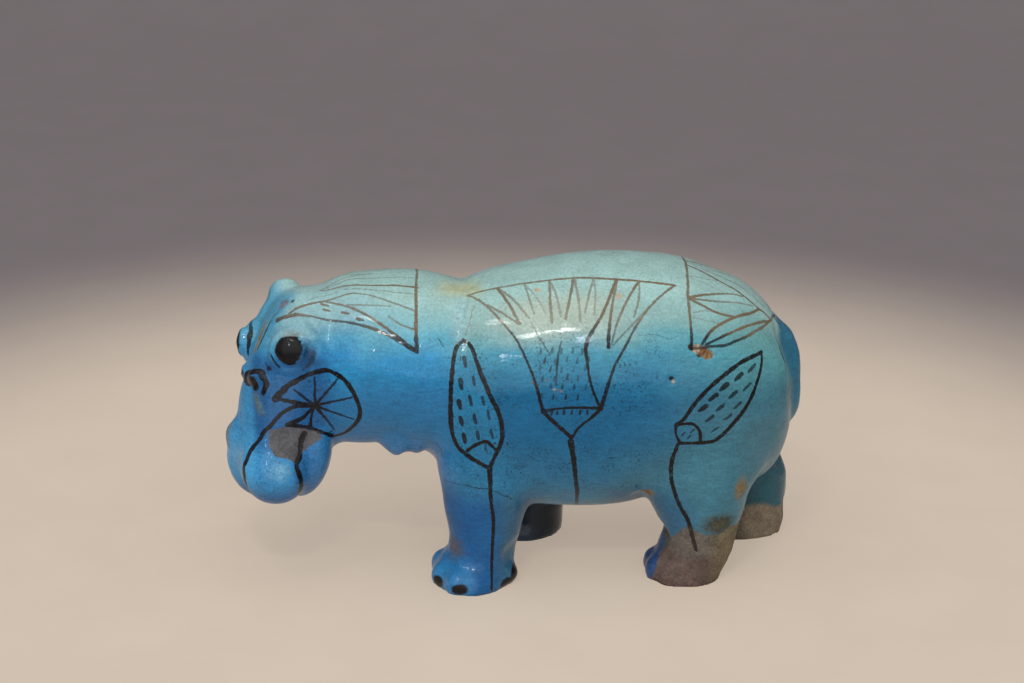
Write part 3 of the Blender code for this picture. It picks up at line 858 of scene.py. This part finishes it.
in_bud = inside_gap(np.column_stack([x, z]), [
    (-18, 87), (-20.7, 83.6), (-22, 73), (-22, 58.5), (-20.3, 51.5), (-9, 44.3), (-5.3, 53.5),
    (-6.3, 64.7), (-12, 77)])
base = blend(0.5 * smooth(0.4, -0.8, in_bud) * smooth(86, 76, z) * smooth(46, 56, z),
             base, BUD_TEAL)

legs = smooth(39, 28, z + 2 * cloud)
front, hind = smooth(12, 4, x), smooth(28, 35, x)
near_leg = blend(smooth(-10, -2, x), LEG_BLUE, LEG_SHADE)
# painted shade: the far legs under the body are painted dark, the far hind leg darkest towards the
# belly and less shaded at its rear edge
far_side, far_hind_painted_shade = smooth(1, 8, y), blend(smooth(80, 91, x), FAR_HIND_PAINTED_SHADE, FAR_HIND_PAINTED_HALF_SHADE)
tail_edge = np.interp(z, [55, 62, 72, 79, 82, 85, 88, 91], [6, 7, 8.5, 9.6, 9.4, 7.6, 4.4, 0])
on_tail = (smooth(2.2, -1.6, np.abs(y) - tail_edge) * smooth(80, 86, x)
           * smooth(90, 86, z) * smooth(54, 58, z))
for amount, colour in (
        (legs * front, near_leg),
        (smooth(14, 6, z) * smooth(-12, -18, x), FOOT_BLUE),
        (legs * hind * smooth(66, 54, x), LEG_SHADE),
        (smooth(17, 14, z) * hind * smooth(56, 50, x), TOE_BLUE),
        (far_side * smooth(38, 26, z) * smooth(28, 22, x), FAR_LEG_PAINTED_SHADE),
        (far_side * smooth(40, 30, z) * hind, far_hind_painted_shade),
        (on_tail, TAIL)):
    base = blend(amount, base, colour)

head = gradient(up + 1.6 * cloud, (-44, JAW_BLUE), (-17, CHEEK_BLUE), (-4, NECK_BLUE),
                (3, TEMPLE), (8, BROW), (15, HEAD_PALE), (26, CREST))
# painted shade: the side of the head between the eye and the mouth, behind the muzzle, is darkened
shaded = smooth(8, 15, forward) * smooth(6, 0, up) * smooth(-27, -20, up)
head = blend(0.85 * shaded, head, CHEEK_PAINTED_SHADE)
# the lighter band across the top of the lip is a painted highlight, where the lip faces the lamps
muzzle = gradient(up, (-45, JAW_BLUE), (-39, MUZZLE_BLUE), (-31, LIP_PAINTED_HIGHLIGHT), (-22, MUZZLE_BLUE),
                  (0, MUZZLE_BLUE), (10, BROW))
head = blend(smooth(24, 28, forward) * smooth(-26, -29, up) * smooth(-45, -39, up),
             head, LIP_BLUE)
head = blend(smooth(32, 36, forward - 0.5 * left + 3 + cloud), head, muzzle)
# painted highlight: each eye's surround is lighter on its upper half, where the ridge round the
# eye faces the light; and blue on the far ear
for centre in (NEAR_EYE, FAR_EYE):
    r = np.linalg.norm(points - centre, axis=1)
    over = smooth(1.0, 5.0, z - centre[2])
    head = blend(0.55 * over * smooth(10.5, 8.5, r) * smooth(4.5, 6.0, r), head, HEAD_PALE)
head = blend(smooth(12, 20, forward) * smooth(10, 4, left) * smooth(6, 10, up), head, BROW)
on_head = smooth(-50, -62, x - 0.35 * (z - 74))
base = blend(on_head, base, head)
pale = smooth(34, 52, at)
pale = pale + (smooth(8, 19, up) - pale) * on_head
pale *= (1 - on_tail) * smooth(91, 87, x)
store("glaze", base)
store("pale", pale)
speckle = (1 - pale) * smooth(20, 40, z) * smooth(-34, -10, x) * smooth(60, 40, x)
speckle += 0.8 * on_head * smooth(6, 14, forward) * smooth(4, -4, up)
speckle += 1.1 * smooth(10, 4, np.hypot(x + 2, z - 49)) * smooth(0, -10, y)
store("speckle", speckle)

# ---- unwrapped for baking

skin.uv_layers.new(name="OFBake")
bpy.context.view_layer.objects.active = hippo
hippo.select_set(True)
bpy.ops.object.mode_set(mode="EDIT")
bpy.ops.mesh.select_all(action="SELECT")
bpy.ops.uv.smart_project(angle_limit=math.radians(66), island_margin=0.002)
bpy.ops.object.mode_set(mode="OBJECT")
hippo.select_set(False)

# ---- materials


class Nodes:
    """Short ways to add shader nodes; sizes are millimetres."""

    def __init__(self, material):
        material.use_nodes = True
        self.tree = material.node_tree
        self.shader = self.tree.nodes["Principled BSDF"]
        self.place = self.add("ShaderNodeTexCoord").outputs["Object"]

    def add(self, kind, **settings):
        node = self.tree.nodes.new(kind)
        for key, value in settings.items():
            setattr(node, key, value)
        return node

    def plug(self, value, socket):
        """Links a socket into another, or sets a colour or a number on it."""
        if isinstance(value, bpy.types.NodeSocket):
            self.tree.links.new(value, socket)
        elif isinstance(value, np.ndarray):
            socket.default_value = (*value, 1.0)
        else:
            socket.default_value = value

    def finish(self, name, value):
        self.plug(value, self.shader.inputs[name])

    def math(self, operation, a, b):
        node = self.add("ShaderNodeMath", operation=operation)
        self.plug(a, node.inputs[0])
        self.plug(b, node.inputs[1])
        return node.outputs[0]

    def plus(self, a, b):
        return self.math("ADD", a, b)

    def minus(self, a, b):
        return self.math("SUBTRACT", a, b)

    def times(self, a, b):
        return self.math("MULTIPLY", a, b)

    def ramp(self, value, low, high, start=0.0, end=1.0):
        node = self.add("ShaderNodeMapRange", interpolation_type="SMOOTHSTEP")
        for v, socket in zip((value, low, high, start, end), node.inputs):
            self.plug(v, socket)
        return node.outputs[0]

    def mix(self, factor, a, b):
        node = self.add("ShaderNodeMix", data_type="RGBA")
        self.plug(factor, node.inputs[0])
        self.plug(a, node.inputs[6])
        self.plug(b, node.inputs[7])
        return node.outputs[2]

    def vector(self, operation, a, b, socket=1):
        node = self.add("ShaderNodeVectorMath", operation=operation)
        self.plug(a, node.inputs[0])
        self.plug(b, node.inputs[socket])
        return node.outputs

    def tinted(self, colour, amount):
        return self.vector("SCALE", colour, amount, "Scale")[0]

    def value(self, name, output="Fac"):
        return self.add("ShaderNodeAttribute", attribute_name=name).outputs[output]

    def texture(self, kind, size, **settings):
        """A texture with features of about a size (or a size per axis)."""
        mapping = self.add("ShaderNodeMapping")
        mapping.inputs["Scale"].default_value = 1 / (np.broadcast_to(size, 3) * MM)
        self.plug(self.place, mapping.inputs["Vector"])
        node = self.add(kind, **settings)
        node.inputs["Scale"].default_value = 1.0
        self.plug(mapping.outputs[0], node.inputs["Vector"])
        return node

    def noise(self, size, detail=2.0, roughness=0.5):
        node = self.texture("ShaderNodeTexNoise", size)
        node.inputs["Detail"].default_value = detail
        node.inputs["Roughness"].default_value = roughness
        return node.outputs["Fac"]

    def shaken(self, size, low, high, detail=3.0, roughness=0.5):
        """Noise stretched to run from a low to a high value."""
        return self.ramp(self.noise(size, detail, roughness), 0.3, 0.7, low, high)

    def crackle(self, size):
        """Distance to the nearest line of a net, as a share of its mesh."""
        net = self.texture("ShaderNodeTexVoronoi", size, feature="DISTANCE_TO_EDGE")
        return net.outputs["Distance"]


SPECK, CRACKLE = rgb(20, 38, 56), rgb(50, 84, 96)
INK, THIN_INK, INK_ON_FILL = rgb(10, 7, 10), rgb(104, 85, 60), rgb(30, 22, 22)


def bare_glaze(n, pale):
    """Glaze of uneven depth with fine dark specks and a faint net of crackle; and that net."""
    mottle = n.plus(n.ramp(n.noise(7.0, 4.0, 0.62), 0.28, 0.72, 0.92, 1.08),
                    n.shaken(0.9, -0.14, 0.14, 4.0, 0.7))
    brushed = n.shaken((4.0, 4.0, 0.8), -0.11, 0.11, 3.0, 0.65)
    mottle = n.plus(mottle, n.times(brushed, n.minus(1.0, pale)))
    colour = n.tinted(n.value("glaze", "Color"), mottle)
    speck = n.times(n.ramp(n.noise(0.7, 1.0), 0.57, 0.68), n.ramp(n.noise(8.0), 0.36, 0.60))
    speck = n.times(speck, n.ramp(n.value("speckle"), 0.0, 1.6, 0.15, 0.95))
    colour = n.mix(speck, colour, SPECK)
    net = n.times(n.ramp(n.crackle(5.5), 0.022, 0.006),
                  n.ramp(n.noise(14.0), 0.52, 0.64, 0.0, 0.22))
    return n.mix(net, colour, CRACKLE), net


def brush_ink(n):
    """How much ink lies at a point, from the nearest line of each layer."""
    ragged = n.times(n.minus(n.noise(0.9), 0.5), 0.34)
    ink = 0.0
    for number in range(LAYERS):
        gap = n.vector("DISTANCE", n.place, n.value(f"ink_spot_{number}", "Vector"))["Value"]
        about = n.add("ShaderNodeSeparateXYZ")
        n.plug(n.value(f"ink_about_{number}", "Vector"), about.inputs[0])
        far, half, strength = about.outputs
        edge = n.plus(n.minus(n.times(gap, 1 / MM), half), ragged)
        layer = n.times(n.ramp(edge, 0.16, -0.14), n.ramp(n.minus(far, half), 0.74, 0.58))
        ink = n.math("MAXIMUM", ink, n.times(layer, strength))
    return n.times(ink, n.ramp(n.noise(1.1, 3.0, 0.7), 0.30, 0.48, 0.72, 1.0))


def glaze_material():
    """Glaze, brush line over it, and the marks over both."""
    material = bpy.data.materials.new("faience_glaze_painted")
    n = Nodes(material)
    pale = n.value("pale")
    glaze, net = bare_glaze(n, pale)
    ink = brush_ink(n)
    painted = n.mix(ink, glaze, n.mix(n.ramp(pale, 0.3, 1.05), INK, THIN_INK))

    # marks: black fills, repairs, chips and stains, grainy where they are coarse
    soft, mark_rough = n.value("mark_soft"), n.value("mark_rough")
    rough_edge = n.times(n.minus(n.noise(1.3, 3.0, 0.6), 0.5), n.times(soft, 2.2))
    marked = n.ramp(n.plus(n.value("mark_gap"), rough_edge), soft, n.times(soft, -1.0))
    coarse = n.ramp(mark_rough, 0.76, 0.84)
    grit = n.shaken(0.8, n.ramp(coarse, 0.0, 1.0, 0.75, 0.5), n.ramp(coarse, 0.0, 1.0, 1.22, 1.45),
                    3.0, 0.65)
    mark_colour = n.tinted(n.value("mark_colour", "Vector"),
                           n.times(grit, n.shaken(4.5, 0.8, 1.18, 3.0, 0.6)))
    colour = n.mix(marked, painted, mark_colour)
    # a stem that runs over a repair stays dark on it
    n.finish("Base Color", n.mix(n.times(n.times(ink, marked), 0.85), colour, INK_ON_FILL))

    gloss = n.shaken(6.0, 0.26, 0.38)
    n.finish("Roughness", n.plus(n.times(gloss, n.minus(1.0, marked)),
                                 n.times(mark_rough, marked)))
    n.finish("Specular IOR Level", 0.12)
    matt = n.times(marked, n.ramp(mark_rough, 0.3, 0.55))
    n.finish("Coat Weight", n.times(n.minus(1.0, matt), 0.28))
    n.finish("Coat Roughness", 0.06)

    height = n.plus(n.times(n.noise(1.1, 2.0, 0.6), 0.30), n.times(n.noise(4.0), 0.12))
    height = n.minus(height, n.times(net, 0.08))
    height = n.plus(height, n.times(marked, n.times(grit, 0.10)))
    for strength, name in ((0.55, "Normal"), (0.11, "Coat Normal")):
        bump = n.add("ShaderNodeBump")
        bump.inputs["Strength"].default_value = strength
        bump.inputs["Distance"].default_value = MM
        n.plug(height, bump.inputs["Height"])
        n.finish(name, bump.outputs[0])
    return material


skin.materials.clear()
skin.materials.append(glaze_material())
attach(hippo, "root")
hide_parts("hippopotamus")

# ---- floor, light, camera

FLOOR = rgb(196, 181, 165)
WALL = rgb(108, 101, 103)


def stage_material():
    """Plain matt paint, pale round the object and greyer far away, that also glows in its own
    colour: painted light that lifts the shade under the object.
    """
    material = bpy.data.materials.new("stage_paint_glowing")
    n = Nodes(material)
    away = n.vector("DISTANCE", n.place, (0, 0, 0))["Value"]
    paint = n.mix(n.ramp(away, 0.2, 0.42), FLOOR, WALL)
    # the paint is dimmed to about half and the floor glows in its own colour: painted light that
    # fills the shade under the animal
    n.finish("Base Color", n.mix(n.shaken(40.0, 0.5, 0.54, 2.0), paint, rgb(0, 0, 0)))
    n.finish("Emission Color", paint)
    n.finish("Emission Strength", 0.68)
    n.finish("Roughness", 0.6)
    return material


def sweep(name, profile, reach):
    """A sheet with a profile of (y, z) points, wide along X."""
    bm = bmesh.new()
    rows = [[bm.verts.new((x * MM, y * MM, z * MM)) for x in (-reach, reach)]
            for y, z in profile]
    for a, b in zip(rows, rows[1:]):
        bm.faces.new((a[0], a[1], b[1], b[0]))
    mesh = bpy.data.meshes.new(name)
    bm.to_mesh(mesh)
    bm.free()
    for polygon in mesh.polygons:
        polygon.use_smooth = True
    return linked(name, mesh)


REACH_OUT = 3000.0  # how far the floor runs forward and sideways, and the wall up
BEND_START, BEND = 700.0, 400.0  # where the floor starts to bend up, and its radius
turns = np.radians(range(0, 91, 6))
bend = zip(BEND_START + BEND * np.sin(turns), BEND - BEND * np.cos(turns))
floor = sweep("floor", [(-REACH_OUT, 0), *bend, (BEND_START + BEND, REACH_OUT)], REACH_OUT)
floor.data.materials.append(stage_material())


def area_light(name, place, size, power, colour=(1, 1, 1), aim=(0, -20, 80)):
    """A flat lamp; its size is one diameter, or a width and a height for a strip."""
    data = bpy.data.lights.new(name, "AREA")
    wide, high = np.broadcast_to(size, 2)
    data.shape = "DISK" if wide == high else "RECTANGLE"
    data.size = wide * MM
    data.size_y = high * MM
    data.energy = power
    data.color = colour
    light = linked(name, data)
    light.location = Vector(place) * MM
    direction = Vector(aim) * MM - light.location
    light.rotation_mode = "QUATERNION"
    light.rotation_quaternion = direction.to_track_quat("-Z", "Y")


WARM, COOL = (1.0, 0.96, 0.9), (0.8, 0.88, 1.0)
area_light("key", (-175, -735, 890), (170, 44), 2.1, WARM)
area_light("key_high", (-320, -320, 900), (190, 24), 0.6, WARM)
area_light("spark", (-619, -1765, 900), 60, 1.3, COOL)
area_light("spark_low", (-71, -1063, 900), 30, 0.4, COOL)
area_light("soft_top", (0, -300, 1600), 3000, 9.0, aim=(0, 0, 50))
area_light("front_fill", (-150, -1300, 560), 1800, 8.0, aim=(0, 0, 40))

world = bpy.data.worlds.new("studio")
bpy.context.scene.world = world
world.use_nodes = True
sky = world.node_tree.nodes["Background"].inputs
sky["Color"].default_value = (1.0, 0.98, 0.95, 1.0)
sky["Strength"].default_value = 0.56
bpy.context.scene.view_settings.view_transform = "Standard"

AZIMUTH, ELEVATION, ROLL = math.radians(-2), math.radians(19), math.radians(0.7)
DISTANCE = 833.4
TARGET = Vector((-0.83, 0.0, 77.56))
back = Vector((math.sin(AZIMUTH) * math.cos(ELEVATION), -math.cos(AZIMUTH) * math.cos(ELEVATION),
               math.sin(ELEVATION)))
level = Vector((math.cos(AZIMUTH), math.sin(AZIMUTH), 0))
upright = back.cross(level)
side_axis = level * math.cos(ROLL) + upright * math.sin(ROLL)
up_axis = upright * math.cos(ROLL) - level * math.sin(ROLL)
camera = linked("camera", bpy.data.cameras.new("camera"))
camera.data.lens = 85.0
camera.data.sensor_width = 36.0
camera.matrix_world = Matrix.Translation((TARGET + back * DISTANCE) * MM) @ Matrix(
    (side_axis, up_axis, back)).transposed().to_4x4()
bpy.context.scene.camera = camera
